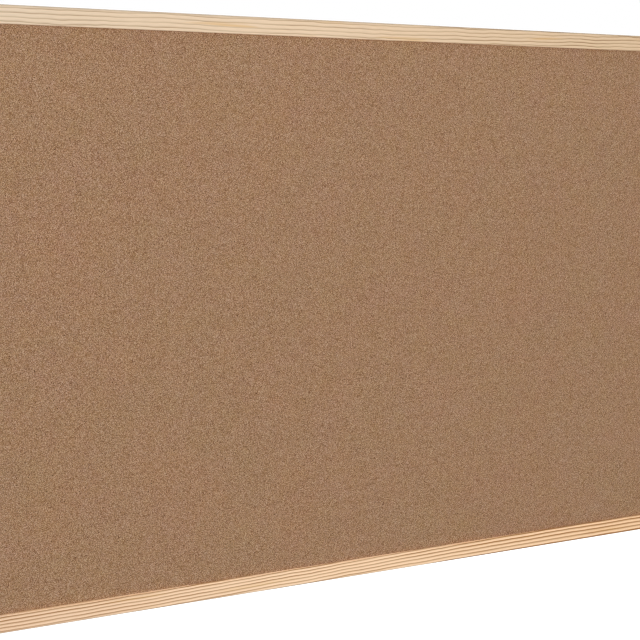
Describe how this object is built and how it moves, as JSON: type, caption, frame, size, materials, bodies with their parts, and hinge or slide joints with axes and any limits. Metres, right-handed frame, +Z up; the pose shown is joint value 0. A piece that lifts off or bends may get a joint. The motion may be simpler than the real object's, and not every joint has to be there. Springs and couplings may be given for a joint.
{
  "type": "cork notice board",
  "caption": "Rectangular cork board for pinned badges and notes, in a slim mitred pine frame, hung on a wall by wire rings behind its side rails.",
  "frame": {"origin": "on the wall plane, behind the middle of the board", "axes": "+X along the long rails, +Y into the wall, +Z up; the cork faces -Y"},
  "size_m": [0.9, 0.0252, 0.6],
  "materials": {
    "pine": "satin",
    "cork": "matte",
    "softboard": "matte",
    "hardboard": "matte",
    "zinc_steel": "satin",
    "rubber": "matte"
  },
  "bodies": {
    "board": {"top_rail": "pine", "right_rail": "pine", "bottom_rail": "pine", "left_rail": "pine", "cork_sheet": "cork", "softboard_core": "softboard", "backing_board": "hardboard", "top_point_1": "zinc_steel", "top_point_2": "zinc_steel", "top_point_3": "zinc_steel", "top_point_4": "zinc_steel", "right_point_1": "zinc_steel", "right_point_2": "zinc_steel", "right_point_3": "zinc_steel", "bottom_point_1": "zinc_steel", "bottom_point_2": "zinc_steel", "bottom_point_3": "zinc_steel", "bottom_point_4": "zinc_steel", "left_point_1": "zinc_steel", "left_point_2": "zinc_steel", "left_point_3": "zinc_steel", "top_right_v_nail_outer": "zinc_steel", "top_right_v_nail_inner": "zinc_steel", "bottom_right_v_nail_outer": "zinc_steel", "bottom_right_v_nail_inner": "zinc_steel", "bottom_left_v_nail_outer": "zinc_steel", "bottom_left_v_nail_inner": "zinc_steel", "top_left_v_nail_outer": "zinc_steel", "top_left_v_nail_inner": "zinc_steel", "left_hanger_strap": "zinc_steel", "left_hanger_screw_upper": "zinc_steel", "left_hanger_screw_lower": "zinc_steel", "right_hanger_strap": "zinc_steel", "right_hanger_screw_upper": "zinc_steel", "right_hanger_screw_lower": "zinc_steel", "top_right_bumper": "rubber", "bottom_right_bumper": "rubber", "bottom_left_bumper": "rubber", "top_left_bumper": "rubber"},
    "left_ring": {"left_hanger_ring": "zinc_steel"},
    "right_ring": {"right_hanger_ring": "zinc_steel"}
  },
  "joints": [
    {"name": "left_ring_swing", "type": "hinge", "parent": "board", "child": "left_ring", "pos_m": [-0.4435, -0.0028, 0.19], "axis": [1, 0, 0], "range_deg": [0, 180]},
    {"name": "right_ring_swing", "type": "hinge", "parent": "board", "child": "right_ring", "pos_m": [0.4435, -0.0028, 0.19], "axis": [1, 0, 0], "range_deg": [0, 180]}
  ]
}
